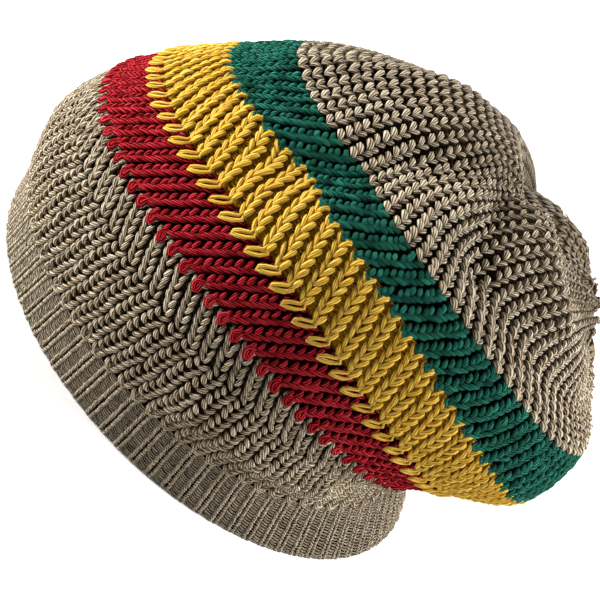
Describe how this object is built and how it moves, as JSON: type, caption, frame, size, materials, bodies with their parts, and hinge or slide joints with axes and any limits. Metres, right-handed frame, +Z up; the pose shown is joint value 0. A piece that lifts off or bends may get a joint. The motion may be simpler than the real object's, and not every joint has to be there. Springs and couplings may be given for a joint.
{
  "type": "slouchy knitted tam",
  "caption": "Slouchy knitted tam: fine ribbed band, racked rib body with red, yellow and green stripes, and a puckered crown drawn to a gather.",
  "frame": {"origin": "middle of the rim opening, on the surface that the rim rests on", "axes": "+Z up through the hat, -X to the front of the rim, +X to the back where the crown slouches, -Y to the side that the picture shows"},
  "size_m": [0.2287, 0.1824, 0.1456],
  "materials": {
    "band_yarn": "tan cotton yarn in a fine narrow rib",
    "body_yarn": "tan plied cotton yarn in racked ribs",
    "red_yarn": "red plied cotton yarn in racked ribs",
    "yellow_yarn": "golden yellow plied cotton yarn in racked ribs",
    "green_yarn": "green plied cotton yarn in racked ribs"
  },
  "bodies": {
    "root": {"ribbed_band": "band_yarn", "lower_body": "body_yarn", "upper_body": "body_yarn", "red_stripe": "red_yarn", "yellow_stripe": "yellow_yarn", "green_stripe": "green_yarn", "crown": "body_yarn"}
  },
  "joints": []
}
